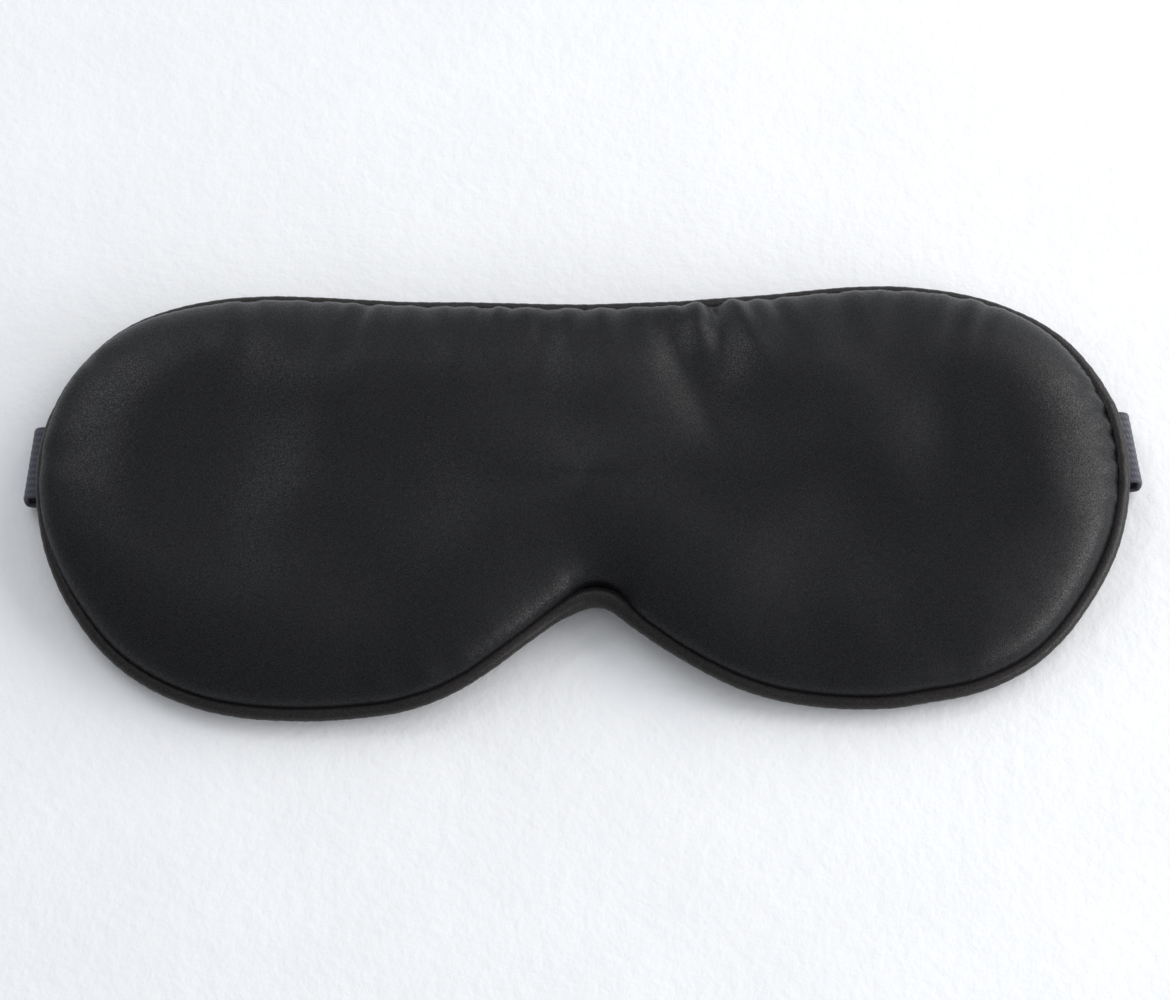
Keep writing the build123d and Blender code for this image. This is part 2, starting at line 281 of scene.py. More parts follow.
def read_vectors(ob, field):
    values = np.empty(len(ob.data.vertices) * 3)
    ob.data.vertices.foreach_get(field, values)
    return values.reshape(-1, 3)


def get_coords(ob):
    return read_vectors(ob, "co") / MM


def set_coords(ob, verts):
    ob.data.vertices.foreach_set("co", (verts * MM).ravel())
    ob.data.update()


def apply_modifiers(ob):
    graph = bpy.context.evaluated_depsgraph_get()
    graph.update()
    mesh = bpy.data.meshes.new_from_object(
        ob.evaluated_get(graph), preserve_all_data_layers=True, depsgraph=graph)
    old = ob.data
    ob.modifiers.clear()
    ob.data = mesh
    mesh.name = old.name
    shade_smooth(mesh)


def subdivide(ob):
    modifier = ob.modifiers.new("Sub", "SUBSURF")
    modifier.levels = modifier.render_levels = 1
    apply_modifiers(ob)


def add_attribute(ob, name, values):
    attribute = ob.data.attributes.new(name, "FLOAT", "POINT")
    attribute.data.foreach_set("value", np.asarray(values, np.float32))


def flat_sheet(rings, step):
    """Triangulated flat sheet: (inset, count) rings, then an even triangular field."""
    loops = [inset(distance, count) for distance, count in rings]
    xs = np.arange(-110, 110, step)
    ys = np.arange(-52, 52, step * 0.866)
    field = np.array([(x + (j % 2) * step / 2, y) for j, y in enumerate(ys) for x in xs])
    inside = edge_distance(field)[0] > rings[-1][0] + step * 0.75
    points = np.vstack(loops + [field[inside]])
    count = len(loops[0])
    border = [(i, (i + 1) % count) for i in range(count)]
    verts, _, faces, *_ = delaunay_2d_cdt(
        [Vector(p) for p in points], border, [list(range(count))], 1, 1e-5)
    plan = np.array([(v.x, v.y) for v in verts])
    centres = np.array([plan[list(f)].mean(0) for f in faces])
    kept = edge_distance(centres)[0] > rings[0][0] - 0.3
    return plan, [tuple(f) for f, ok in zip(faces, kept) if ok and len(f) == 3]


def shell(name, plan, faces, top, bottom):
    """Closed sheet between two height lists over one triangulated outline."""
    n = len(plan)
    edges = dict.fromkeys(pair for a, b, c in faces for pair in ((a, b), (b, c), (c, a)))
    walls = [(b, a, a + n, b + n) for a, b in edges if (b, a) not in edges]
    under = [tuple(i + n for i in reversed(f)) for f in faces]
    verts = np.vstack([np.c_[plan, top], np.c_[plan, bottom]])
    return mesh_object(name, verts, faces + under + walls)


def surface_tree(verts, faces):
    return BVHTree.FromPolygons([tuple(v) for v in verts], faces)


def heights(tree, plan, missing):
    """Height of a surface over each plan point, or the missing value where it has none."""
    hits = (tree.ray_cast(Vector((x, y, 60)), Vector((0, 0, -1)))[0] for x, y in plan)
    return np.array([missing if hit is None else hit.z for hit in hits])


# ---------------------------------------------------------------- padded face
def roll_share(x, y):
    """How far the face rolls out over its seam: most at the left end, least at the right."""
    left_end = (1 - ease(-104, -72, x)) * ease(-26, 2, y)
    return 1.0 - 0.45 * ease(84, 101, x) + 0.95 * left_end


def face_sheet():
    """The face as sewn, before filling, and each point's depth in from the piping."""
    rings = [(PANEL_INSET, 420), (3.4, 420), (4.4, 400), (5.8, 340), (7.8, 280), (10.4, 220)]
    flat, faces = flat_sheet(rings, step=3.0)
    x, y = flat.T
    depth = np.maximum(edge_distance(flat)[0] - PANEL_INSET, 0)
    z = rim_z(x, y) + 0.1 + np.interp(depth, ROLL_DEPTH, ROLL_RISE)
    # at the nose notch the face stands back from the bunched piping
    nearest = nearest_edge(flat)
    around = notch(ARC[nearest], 7.0) * (1 - ease(0, 16, depth))
    peak = notch(ARC[nearest], 3.8) * (1 - ease(0, 12, depth))
    roll = np.interp(depth, ROLL_DEPTH, ROLL_OUT) * roll_share(x, y) * (1 - 0.65 * around)
    roll = roll - 0.35 * around - 1.15 * peak
    ob = mesh_object("satin_face", np.c_[flat - NORMAL[nearest] * roll[:, None], z], faces)
    # the sheet is open, so its recalculated normals may point down
    if ob.data.polygons[0].normal.z < 0:
        edit_faces(ob, bmesh.ops.reverse_faces)
    add_attribute(ob, "depth_in", depth)
    return ob, depth


def share_movement(move, mesh, rounds=6):
    """Even out the filling: neighbouring points share their movement."""
    first, second = np.array([tuple(e.vertices) for e in mesh.edges]).T
    degree = np.zeros(len(move))
    np.add.at(degree, first, 1)
    np.add.at(degree, second, 1)
    for _ in range(rounds):
        total = np.zeros_like(move)
        np.add.at(total, first, move[second])
        np.add.at(total, second, move[first])
        move = 0.5 * move + 0.5 * total / degree[:, None]
    return move


def inflate(ob, depth):
    """Blow the pinned sheet up with cloth pressure, then calm and limit the result."""
    start = get_coords(ob)
    modifier = ob.modifiers.new("Cloth", "CLOTH")
    for key, value in CLOTH.items():
        setattr(modifier.settings, key, value)
    modifier.settings.effector_weights.gravity = 0
    modifier.collision_settings.use_collision = False
    modifier.collision_settings.use_self_collision = False
    modifier.point_cache.frame_start = 1
    modifier.point_cache.frame_end = CLOTH_FRAMES
    scene = bpy.context.scene
    for number in range(1, CLOTH_FRAMES + 1):
        scene.frame_set(number)
        bpy.context.view_layer.update()
    apply_modifiers(ob)
    scene.frame_set(1)
    move = share_movement(np.nan_to_num(get_coords(ob) - start), ob.data)
    move[depth < 0.5] = 0
    length = np.linalg.norm(move, axis=1)
    move *= (np.minimum(length, MAX_DRIFT) / np.maximum(length, 1e-9))[:, None]
    filled = start + move
    filled[:, :2] = start[:, :2] + PLAN_SHARE * (filled[:, :2] - start[:, :2])
    set_coords(ob, filled)


def pucker_relief(arc, depth):
    relief = np.zeros(len(arc))
    for x, y, half_width, reach, height, drift in PUCKERS:
        seam_y = y + SHIFT_Y if y > 0 else y
        seam_arc = edge_distance(np.array([[x, seam_y]]))[1][0]
        across = arc_from(arc, seam_arc) - drift * depth
        width = half_width * (1 + depth / reach * 0.8) * (0.62 if y > 30 else 0.8)
        ridge = bell(across, 0, width)
        for side in (1, -1):
            ridge = ridge - 0.55 * bell(across, side * 1.9 * width, width * 0.9)
        fade = (1 - bell(depth, 0, 1.9)) * np.exp(-(depth / reach) ** 1.5)
        relief += height * ridge * fade * (1 - ease(13, 24, depth))
    return relief


def ruching_relief(x, y, arc, depth):
    """Fine ripples beside the seam, strongest along the brow and the right end."""
    phase = arc * TURN / 2.3 + 1.3 * np.sin(arc * 0.31) + 0.8 * np.sin(arc * 0.113)
    height = 0.030 + 0.015 * np.sin(arc * 0.071) + 0.05 * ease(30, 42, y)
    height = height + 0.10 * ease(90, 100, x) * ease(-30, 5, y)
    fade = (1 - np.exp(-depth / 0.6)) * np.exp(-(depth / 3.2) ** 1.4)
    return height * np.sin(phase) * fade


def filling_relief(x, y, depth):
    """Broad lumps of the filling, and the folds where the halves flex."""
    relief = np.zeros(len(x))
    fade = ease(1, 12, depth) * (0.45 + 0.55 * ease(-30, 20, x))
    for height, freq_x, freq_y, phase_x, phase_y in LUMPS:
        relief += (height * np.sin(freq_x * x + phase_x + 0.8 * np.sin(freq_y * y))
                   * np.sin(freq_y * y + phase_y + 0.6 * np.sin(freq_x * x)) * fade)
    for height, at_x, at_y, normal_x, normal_y, width, mid_y, half_y, full in FLEX_FOLDS:
        across = (x - at_x) * normal_x + (y - at_y) * normal_y
        relief += (height * bell(across, 0, width) * bell(y, mid_y, half_y)
                   * ease(2, full, depth))
    return relief


def satin_face():
    """The padded face, and a tree of its outer surface."""
    ob, depth = face_sheet()
    pin = ob.vertex_groups.new(name="pin")
    for i, weight in enumerate(1 - ease(0.5, 5.0, depth)):
        if weight > 0:
            pin.add([i], float(weight), "REPLACE")
    inflate(ob, depth)
    for group in list(ob.vertex_groups):
        ob.vertex_groups.remove(group)
    subdivide(ob)

    verts = get_coords(ob)
    x, y, z = verts.T.copy()
    arc = edge_distance(verts[:, :2])[1]
    depth = np.empty(len(verts), np.float32)
    ob.data.attributes["depth_in"].data.foreach_get("value", depth)
    depth = depth.astype(float)
    # scale the rise so that the crown stands just above the frame's front panel
    seam = rim_z(x, y)
    rise = z - seam
    crown = np.percentile(rise[depth > 18], 90)
    verts[:, 2] = seam + rise * ((TOP_Z - SEAM_Z + 0.4) / crown)
    set_coords(ob, verts)

    relief = pucker_relief(arc, depth) + ruching_relief(x, y, arc, depth)
    relief += filling_relief(x, y, depth)
    verts = verts + read_vectors(ob, "normal") * relief[:, None]
    set_coords(ob, verts)
    tree = surface_tree(verts, [tuple(p.vertices) for p in ob.data.polygons])

    solidify = ob.modifiers.new("Cloth thickness", "SOLIDIFY")
    solidify.thickness = 0.45 * MM
    solidify.offset = -1
    solidify.use_quality_normals = False
    apply_modifiers(ob)
    return ob, tree


# ---------------------------------------------------------------- layers beneath the face
def satin_back():
    """The backing panel, and a tree of its upper surface."""
    rings = [(PANEL_INSET, 360), (4.2, 340), (6.4, 280), (9.6, 220)]
    plan, faces = flat_sheet(rings, step=3.2)
    x, y = plan.T
    depth, arc = edge_distance(plan)
    depth = np.clip(depth - PANEL_INSET, 0, None)
    sag = 1.2 * (1 - (1 - np.clip(depth / 12, 0, 1)) ** 2.2)
    z = np.maximum(rim_z(x, y) - 0.9 - sag, 0.12)
    # held up by the elastic beneath it, and across the bridge
    on_strap = ease(-5, -1, y - STRAP_Y0) * (1 - ease(1, 5, y - STRAP_Y1))
    z = np.maximum(z, on_strap * 4.62 * (1 - ease(96, 101, np.abs(x)) * 0.14))
    z = np.maximum(z, 4.6 * (1 - ease(16, 40, np.abs(x))) * ease(0, 8, depth))
    # faint creasing inside, fine gathers beside the seam
    creases = np.sin(x * 0.9 + 0.6 * np.sin(y * 0.7)) * np.sin(y * 0.8)
    z += 0.06 * creases * ease(0, 6, depth)
    fade = (1 - np.exp(-depth / 0.6)) * np.exp(-(depth / 4.5) ** 1.4)
    z += 0.10 * np.sin(arc * TURN / 3.1 + np.sin(arc * 0.23)) * fade
    z = np.maximum(z, 0.08)
    top = z + BACK_THICK
    return shell("satin_back", plan, faces, top, z), surface_tree(np.c_[plan, top], faces)


def blackout_cloth(back_tree):
    plan, faces = flat_sheet([(3.6, 260), (6.5, 220), (10, 180)], step=4.0)
    weave = 0.02 * np.sin(plan[:, 0] * 3) * np.sin(plan[:, 1] * 3)
    z = heights(back_tree, plan, missing=5.0) + 0.10
    return shell("blackout_cloth", plan, faces, z + 0.18 + weave, z + weave)


def wadding(face_tree, back_tree):
    plan, faces = flat_sheet([(8.0, 200), (10, 190), (13, 160)], step=3.4)
    x, y = plan.T
    fluff = 0.16 * np.sin(x * 1.7 + 2 * np.sin(y * 0.9)) * np.sin(y * 1.9 + np.sin(x * 1.1))
    bottom = heights(back_tree, plan, missing=5.0) + 0.42
    top = heights(face_tree, plan, missing=9.0) - 0.95 + fluff - 0.16
    ob = shell("wadding", plan, faces, np.maximum(top, bottom + 0.6), bottom)
    subdivide(ob)
    return ob


# ---------------------------------------------------------------- piping
def tube(name, path, radii, sides, relief):
    """Closed ring swept round a path; relief(along, angle) is added to the radius."""
    n = len(path)
    tangent = tangents(path)
    across = np.cross(tangent, (0, 0, 1))
    across /= np.linalg.norm(across, axis=1)[:, None]
    up = np.cross(across, tangent)
    along = arc_lengths(path)
    verts = np.empty((n, sides, 3))
    for j, angle in enumerate(np.linspace(0, TURN, sides, endpoint=False)):
        r = radii + relief(along, angle)
        verts[:, j] = (path + across * (r * np.cos(angle))[:, None]
                       + up * (r * np.sin(angle))[:, None])
    index = np.arange(n * sides).reshape(n, sides)
    faces = []
    for i in range(n):
        i2 = (i + 1) % n
        for j in range(sides):
            j2 = (j + 1) % sides
            faces.append((index[i, j], index[i2, j], index[i2, j2], index[i, j2]))
    return mesh_object(name, verts.reshape(-1, 3), faces), along


def piping_path():
    """Centre line and radius of the piping, thicker at the notch and the right end."""
    edge, length = resample(EDGE, PIPE_COUNT)
    x, y = edge.T
    radius = PIPE_RADIUS + 0.50 * notch(np.arange(PIPE_COUNT) / PIPE_COUNT * length, 7.0)
    radius += 0.14 * ease(84, 100, x) * ease(-30, 5, y) * 0 + 0.14 * ease(84, 100, x) * (
        1 - ease(-30, 5, y)) * 0 + 0.14 * ease(84, 100, x)
    radius -= 0.12 * (1 - ease(-100, -86, x)) * ease(-24, 10, y)
    plan = edge + inward(tangents(edge)) * radius[:, None]
    for _ in range(4):
        plan = 0.5 * plan + 0.25 * (np.roll(plan, 1, 0) + np.roll(plan, -1, 0))
    x, y = plan.T
    z = np.maximum(rim_z(x, y), radius + 0.05)
    # the elastic pushes the piping up a little where it leaves the seam
    over_strap = ease(STRAP_Y0 - 4, STRAP_Y0 + 1, y) * (1 - ease(STRAP_Y1 - 1, STRAP_Y1 + 4, y))
    z = z + 0.9 * ease(98, 102, np.abs(x)) * over_strap
    z += 0.05 * np.sin(np.arange(PIPE_COUNT) / PIPE_COUNT * TURN * 23 + 1.0)
    return np.c_[plan, z], radius


def pipe_relief(along, angle):
    """Slanting drag lines round the cord, and stitch dimples along one flank."""
    relief = 0.026 * np.sin(along * TURN / 2.9 + 2.2 * angle + 0.9 * np.sin(along * 0.19))
    relief += 0.016 * np.sin(along * TURN / 1.3 - 1.7 * angle + 1.7 * np.sin(along * 0.11))
    flank = max(0.0, math.cos(angle)) ** 4
    return relief - 0.11 * flank * (0.5 + 0.5 * np.sin(along * TURN / 2.3))


def piping_cover(path, radius):
    turn = np.arange(PIPE_COUNT) / PIPE_COUNT * TURN
    radii = radius * (1 + 0.014 * np.sin(turn * 31) + 0.008 * np.sin(turn * 57 + 2))
    ob, along = tube("piping_cover", path, radii, PIPE_SIDES, pipe_relief)
    add_attribute(ob, "along", np.repeat(along, PIPE_SIDES))
    return ob


def piping_flange():
    """Flat edge of the piping strip, caught between the panels."""
    n = 450
    rings = []
    for distance, lift in ((2.7, 0.16), (6.2, 0.16), (6.2, -0.10), (2.7, -0.10)):
        loop = inset(distance, n)
        rings.append(np.c_[loop, rim_z(loop[:, 0], loop[:, 1]) - 0.18 + lift])
    faces = []
    for k in range(4):
        k2 = (k + 1) % 4
        for i in range(n):
            j = (i + 1) % n
            faces.append((k * n + i, k * n + j, k2 * n + j, k2 * n + i))
    return mesh_object("piping_flange", np.vstack(rings), faces)


def piping_cord(path):
    """Filler cord with three twisted strands in one form."""
    def strands(along, angle):
        return 0.16 * np.abs(np.sin(1.5 * (angle + along * 0.9))) - 0.10
    count = 1400
    centre = resample(path, count)[0]
    return tube("piping_cord", centre, np.full(count, 0.98), 15, strands)[0]


def stitches(name, starts, ends, radius, sides=6):
    """Row of capsule-like stitches joined into one object."""
    profile = [(0.0, 0.45), (0.12, 0.85), (0.5, 1.05), (0.88, 0.85), (1.0, 0.45)]
    last = (len(profile) - 1) * sides
    verts, faces = [], []
    for start, end in zip(starts, ends):
        axis = end - start
        length = np.linalg.norm(axis)
        axis /= length
        across = np.cross(axis, (0, 0, 1.0) if abs(axis[2]) < 0.9 else (1.0, 0, 0))
        across /= np.linalg.norm(across)
        up = np.cross(axis, across)
        base = len(verts)
        for t, scale in profile:
            for j in range(sides):
                angle = TURN * j / sides
                spoke = across * math.cos(angle) + up * math.sin(angle)
                verts.append(start + axis * length * t + spoke * radius * scale)
        for ring in range(base, base + last, sides):
            for j in range(sides):
                j2 = (j + 1) % sides
                faces.append((ring + j, ring + j2, ring + sides + j2, ring + sides + j))
        faces.append(tuple(base + j for j in reversed(range(sides))))
        faces.append(tuple(base + last + j for j in range(sides)))
    return mesh_object(name, verts, faces)


def seam_stitching():
    plan = inset(4.4, 230)
    points = np.c_[plan, rim_z(plan[:, 0], plan[:, 1]) + 0.16]
    pitch = np.roll(points, -1, 0) - points
    return stitches("seam_thread", points + pitch * 0.06, points + pitch * 0.9, radius=0.14)


face, face_tree = satin_face()
back, back_tree = satin_back()
lining = blackout_cloth(back_tree)
wad = wadding(face_tree, back_tree)
pipe_path, pipe_radius = piping_path()
pipe = piping_cover(pipe_path, pipe_radius)
flange = piping_flange()
cord = piping_cord(pipe_path)
thread = seam_stitching()

# Each piece with the stem of the frame pieces that it replaces.
MASK_PIECES = [
    (face, "front_panel"), (back, "back_panel"), (lining, "blackout_lining"),
    (wad, "wadding"), (pipe, "piping_cover"), (flange, "piping_cover"),
    (cord, "piping_cord"), (thread, "seam_thread")]
for piece, _ in MASK_PIECES:
    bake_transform(piece)
for piece, stem in MASK_PIECES:
    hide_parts(stem + "_left", stem + "_right")


# ---------------------------------------------------------------- elastic
def fit_end(side):
    """Slope and middle x of the mask's end over the width of the elastic."""
    ys = np.linspace(STRAP_Y0, STRAP_Y1, 9)
    xs = []
    for y in ys:
        near = (np.abs(EDGE[:, 1] - y) < 1.0) & (np.sign(EDGE[:, 0]) == side)
        xs.append(np.abs(EDGE[near, 0]).max())
    return np.polyfit(ys - STRAP_Y, np.array(xs), 1)


def ribbon(name, line, side, slope, start_u):
    """Ribbed elastic along an x, z, lean line; lean is its share of the end's slope."""
    line = np.asarray(line, float)
    lengths = arc_lengths(line[:, :2])
    n = max(int(lengths[-1] / 0.55), 8)
    u = np.linspace(0, lengths[-1], n)
    x, z, lean = (np.interp(u, lengths, line[:, k]) for k in range(3))
    tangent_x, tangent_z = np.gradient(x), np.gradient(z)
    size = np.hypot(tangent_x, tangent_z)
    normal_x, normal_z = -tangent_z / size, tangent_x / size
    columns = STRAP_COLUMNS
    y = np.linspace(STRAP_Y0, STRAP_Y1, columns)
    share = (y - STRAP_Y0) / (STRAP_Y1 - STRAP_Y0)
    thin_edge = 1 - 0.5 * np.clip(1 - np.minimum(share, 1 - share) / 0.03, 0, 1) ** 2
    rib = RIB_HEIGHT * (0.5 + 0.5 * np.cos((share - 0.5) * TURN * RIBS))
    verts = []
    for surface in (1, -1):
        for i in range(n):
            cross = 0.018 * math.sin((u[i] + start_u) * TURN / 1.1)
            half = (STRAP_HALF * thin_edge - RIB_HEIGHT + rib + cross) * surface
            shift = slope * (y - STRAP_Y) * lean[i] * side
            verts.append(np.stack([x[i] + normal_x[i] * half + shift, y,
                                   z[i] + normal_z[i] * half], 1))
    a, b = np.arange(2 * n * columns).reshape(2, n, columns)
    faces = []
    for i in range(n - 1):
        for j in range(columns - 1):
            faces.append((a[i, j], a[i, j + 1], a[i + 1, j + 1], a[i + 1, j]))
            faces.append((b[i, j], b[i + 1, j], b[i + 1, j + 1], b[i, j + 1]))
        j = columns - 1
        faces.append((a[i, 0], a[i + 1, 0], b[i + 1, 0], b[i, 0]))
        faces.append((a[i, j], b[i, j], b[i + 1, j], a[i + 1, j]))
    i = n - 1
    for j in range(columns - 1):
        faces.append((a[0, j], b[0, j], b[0, j + 1], a[0, j + 1]))
    for j in range(columns - 1):
        faces.append((a[i, j], a[i, j + 1], b[i, j + 1], b[i, j]))
    ob = mesh_object(name, np.array(verts).reshape(-1, 3), faces)
    add_attribute(ob, "strap_u", np.tile(np.repeat(u + start_u, columns), 2))
    return ob


def arc_points(centre_x, centre_z, radius, start, end, count):
    """Points on an arc between two angles in degrees."""
    return [(centre_x + radius * math.cos(angle), centre_z + radius * math.sin(angle))
            for angle in np.radians(np.linspace(start, end, count))]


def cut_corners(points, rounds=3):
    line = np.array(points, float)
    for _ in range(rounds):
        finer = np.repeat(line, 2, 0)
        finer[1:-1:2] = 0.75 * line[:-1] + 0.25 * line[1:]
        finer[2:-1:2] = 0.25 * line[:-1] + 0.75 * line[1:]
        line = finer
    return line


def under_mask(side, seam_x, run_z):
    """Centre lines x, z, lean on the +x side: loop round the mask's end, then the riser."""
    outer_x, exit_x = seam_x + 1.9, seam_x - 1.0
    low_z = 0.62 if side < 0 else 0.56       # the loop sags almost to the table
    loop = cut_corners([
        (exit_x, END_Z - 0.05), (outer_x - 0.25, END_Z - 0.15), (outer_x + 0.10, END_Z - 1.6),
        (outer_x + 0.15, 2.6), (outer_x - 0.15, low_z + 0.15), (exit_x - 1.5, low_z),
        (exit_x - 5.0, low_z + 0.02)])
    if side < 0:
        # the tail slides beneath this length, so it rises at once
        loop = loop[:int(len(loop) * 0.70)]
        run = [tuple(loop[-1]), (exit_x - 0.5, low_z + 0.3), (exit_x - 1.3, run_z - 0.8),
               (exit_x - 2.2, run_z - 0.02), (exit_x - 3.4, run_z), (94, run_z), (85, run_z)]
    else:
        run = [(exit_x - 5.0, low_z + 0.02), (94, low_z + 0.05), (90, low_z + 0.2),
               (85, run_z - 0.35), (80, run_z - 0.05)]
    run = cut_corners(run + [(74, run_z), (62, run_z)])
    lean = np.interp(run[:, 0], [85, 94, exit_x - 5], [0, 0.6, 1.0])
    split = int(np.argmin(np.abs(run[:, 0] - 92.5)))
    run = [(x, z, share) for (x, z), share in zip(run, lean)]
    loop = [(x, z, 1.0) for x, z in loop]
    return loop + run[1:split + 1], run[split:]


def slider_wrap():
    """Left end of the elastic, wrapped over the slider's middle bar and sewn down."""
    bar_x = -3.0
    return ([(-14, LEFT_Z), (bar_x - 2, LEFT_Z), (bar_x + 0.6, LEFT_Z)]
            + arc_points(bar_x + 0.8, LEFT_Z + 0.9, 0.9, -90, 90, 16)
            + [(bar_x - 2.2, LEFT_Z + 1.8), (bar_x - 4.5, LEFT_Z + 1.35),
               (bar_x - 7.0, LEFT_Z + 0.95), (bar_x - 12, LEFT_Z + 0.93),
               (bar_x - 17.0, LEFT_Z + 0.93)])


def hemmed_tail():
    """Free tail of the elastic, its end folded under."""
    return ([(12, RIGHT_Z), (-40, RIGHT_Z), (TAIL_X + 1.0, RIGHT_Z)]
            + arc_points(TAIL_X + 0.95, RIGHT_Z - 0.45, 0.45, 90, 270, 12)
            + [(TAIL_X + 1.5, RIGHT_Z - 0.9), (TAIL_X + 6.0, RIGHT_Z - 0.9)])


def elastic_half(side, tag, run_z, joint_end, far_xs, back_name, back_line, back_u):
    """Sewn end, loop, riser and back band; far_xs are the riser's last stations."""
    slope, seam_x = fit_end(side) * np.array([1.22, 1.0])
    exit_x = seam_x - 1.0
    riser_u = 28.0

    def placed(line):
        return [(side * x, z, lean) for x, z, lean in line]

    sewn = [(98.6, END_Z - 0.15, 0), (101.0, END_Z - 0.15, 0.3),
            (exit_x - 1.2, END_Z - 0.1, 1.0), (exit_x, END_Z - 0.05, 1.0)]
    loop, rise = under_mask(side, seam_x, run_z)
    tab = ribbon("strap_%s_sewn_end" % tag, placed(sewn), side, slope, 0.0)
    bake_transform(tab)
    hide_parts("strap_%s_end" % tag)
    bend = ribbon("strap_%s_loop" % tag, placed(loop), side, slope, 6.0)
    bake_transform(bend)
    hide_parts("strap_%s_fold" % tag)
    far = [(x, run_z, 0) for x in far_xs]
    riser = ribbon("strap_%s_riser_band" % tag, placed(rise) + far, side, slope, riser_u)
    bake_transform(riser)
    band = ribbon(back_name, [(x, z, 0) for x, z in back_line], side, 0.0, riser_u + back_u)
    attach(band, joint_end)
    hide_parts("strap_%s_riser" % tag)
    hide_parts("strap_%s_back" % tag)
    return [tab, bend, riser, band]


elastic = elastic_half(
    side=-1, tag="left", run_z=LEFT_Z, joint_end="strap_back",
    far_xs=(-44, -BACK_X + 0.5, -14), back_name="strap_left_back_band",
    back_line=slider_wrap(), back_u=48)
elastic += elastic_half(
    side=1, tag="right", run_z=RIGHT_Z, joint_end="strap_tail",
    far_xs=(44, BACK_X, 12), back_name="strap_tail_band",
    back_line=hemmed_tail(), back_u=50)


# ---------------------------------------------------------------- materials
class Material:
    """A Principled material with short ways to add the nodes that feed it."""

    def __init__(self, name):
        self.data = bpy.data.materials.new(name)
        self.data.use_nodes = True
        self.tree = self.data.node_tree
        self.tree.nodes.clear()
        output = self.tree.nodes.new("ShaderNodeOutputMaterial")
        self.surface = self.tree.nodes.new("ShaderNodeBsdfPrincipled")
        self.tree.links.new(self.surface.outputs[0], output.inputs[0])

    def feed(self, node, inputs):
        """Link sockets and set plain values, by input name or number."""
        for key, value in inputs.items():
            if isinstance(value, bpy.types.NodeSocket):
                self.tree.links.new(value, node.inputs[key])
            else:
                node.inputs[key].default_value = value

    def node(self, kind, inputs):
        node = self.tree.nodes.new(kind)
        self.feed(node, inputs)
        return node

    def shade(self, inputs):
        self.feed(self.surface, inputs)

    def coords(self, scale=(1, 1, 1)):
        source = self.node("ShaderNodeTexCoord", {}).outputs["Object"]
        return self.node("ShaderNodeMapping", {"Scale": scale, "Vector": source}).outputs[0]

    def noise(self, vector, scale, detail=3, rough=0.6):
        return self.node("ShaderNodeTexNoise", {
            "Scale": scale, "Detail": detail, "Roughness": rough,
            "Vector": vector}).outputs["Fac"]

    def wave(self, vector, direction, scale, distortion):
        node = self.node("ShaderNodeTexWave", {
            "Scale": scale, "Distortion": distortion, "Vector": vector})
        node.bands_direction = direction
        return node.outputs["Fac"]

    def math(self, operation, *operands):
        node = self.node("ShaderNodeMath", dict(enumerate(operands)))
        node.operation = operation
        return node.outputs[0]

    def add(self, a, b):
        return self.math("ADD", a, b)

    def mul(self, a, b):
        return self.math("MULTIPLY", a, b)

    def ramp(self, factor, low, high):
        """Colour ramp between two (position, colour) stops."""
        node = self.node("ShaderNodeValToRGB", {0: factor})
        for element, (position, colour) in zip(node.color_ramp.elements, (low, high)):
            element.position = position
            element.color = (*colour, 1)
        return node.outputs[0]

    def mix(self, factor, a, b):
        node = self.node("ShaderNodeMix", {})
        node.data_type = "RGBA"
        self.feed(node, {"Factor": factor, "A": a, "B": b})
        return node.outputs["Result"]

    def bump(self, height, strength, distance):
        node = self.node("ShaderNodeBump", {
            "Strength": strength, "Distance": distance, "Height": height})
        self.shade({"Normal": node.outputs[0]})


BLACK, WHITE = (0, 0, 0), (1, 1, 1)


def satin(name, dark, light, rough, spec, sheen, glint=0.5, weave=4200.0):
    """Satin weave with tiny bright yarn glints, shinier and also painted lighter into the base
    colour; glint sharpens them, weave is their scale.
    """
    mat = Material(name)
    vector = mat.coords()
    stretched = mat.coords((1.0, 0.75, 1.0))
    speckle = mat.noise(stretched, scale=weave * 1.05, detail=2, rough=0.7)
    slubs = mat.noise(vector, scale=weave * 0.16)
    drift = mat.noise(vector, scale=38, rough=0.5)
    twill = mat.wave(vector, "DIAGONAL", scale=weave * 0.34, distortion=1.6)
    glints = mat.ramp(speckle, low=(0.40, BLACK), high=(0.74, WHITE))
    # Painted glint: the base colour is lighter at the glints, on top of their lower roughness
    # and higher specular; drift adds random tone.
    painted_glint_and_drift = mat.mul(glints, 0.55)
    painted_glint_and_drift = mat.add(painted_glint_and_drift, mat.mul(drift, 0.45))
    colour = mat.mix(painted_glint_and_drift, (*dark, 1), (*light, 1))
    roughness = mat.add(mat.mul(glints, -0.16 * glint), rough + 0.05)
    roughness = mat.add(roughness, mat.mul(slubs, 0.10))
    mat.shade({
        "Base Color": colour,
        "Roughness": roughness,
        "Specular IOR Level": mat.add(mat.mul(glints, spec * 1.1), spec * 0.55),
        "Anisotropic": 0.45,
        "Sheen Weight": sheen,
        "Sheen Roughness": 0.38,
        "Sheen Tint": (0.75, 0.76, 0.82, 1)})
    height = mat.add(mat.mul(speckle, 0.9), mat.mul(twill, 0.12))
    height = mat.add(height, mat.mul(slubs, 0.8))
    mat.bump(height, strength=0.42, distance=0.00010)
    return mat.data


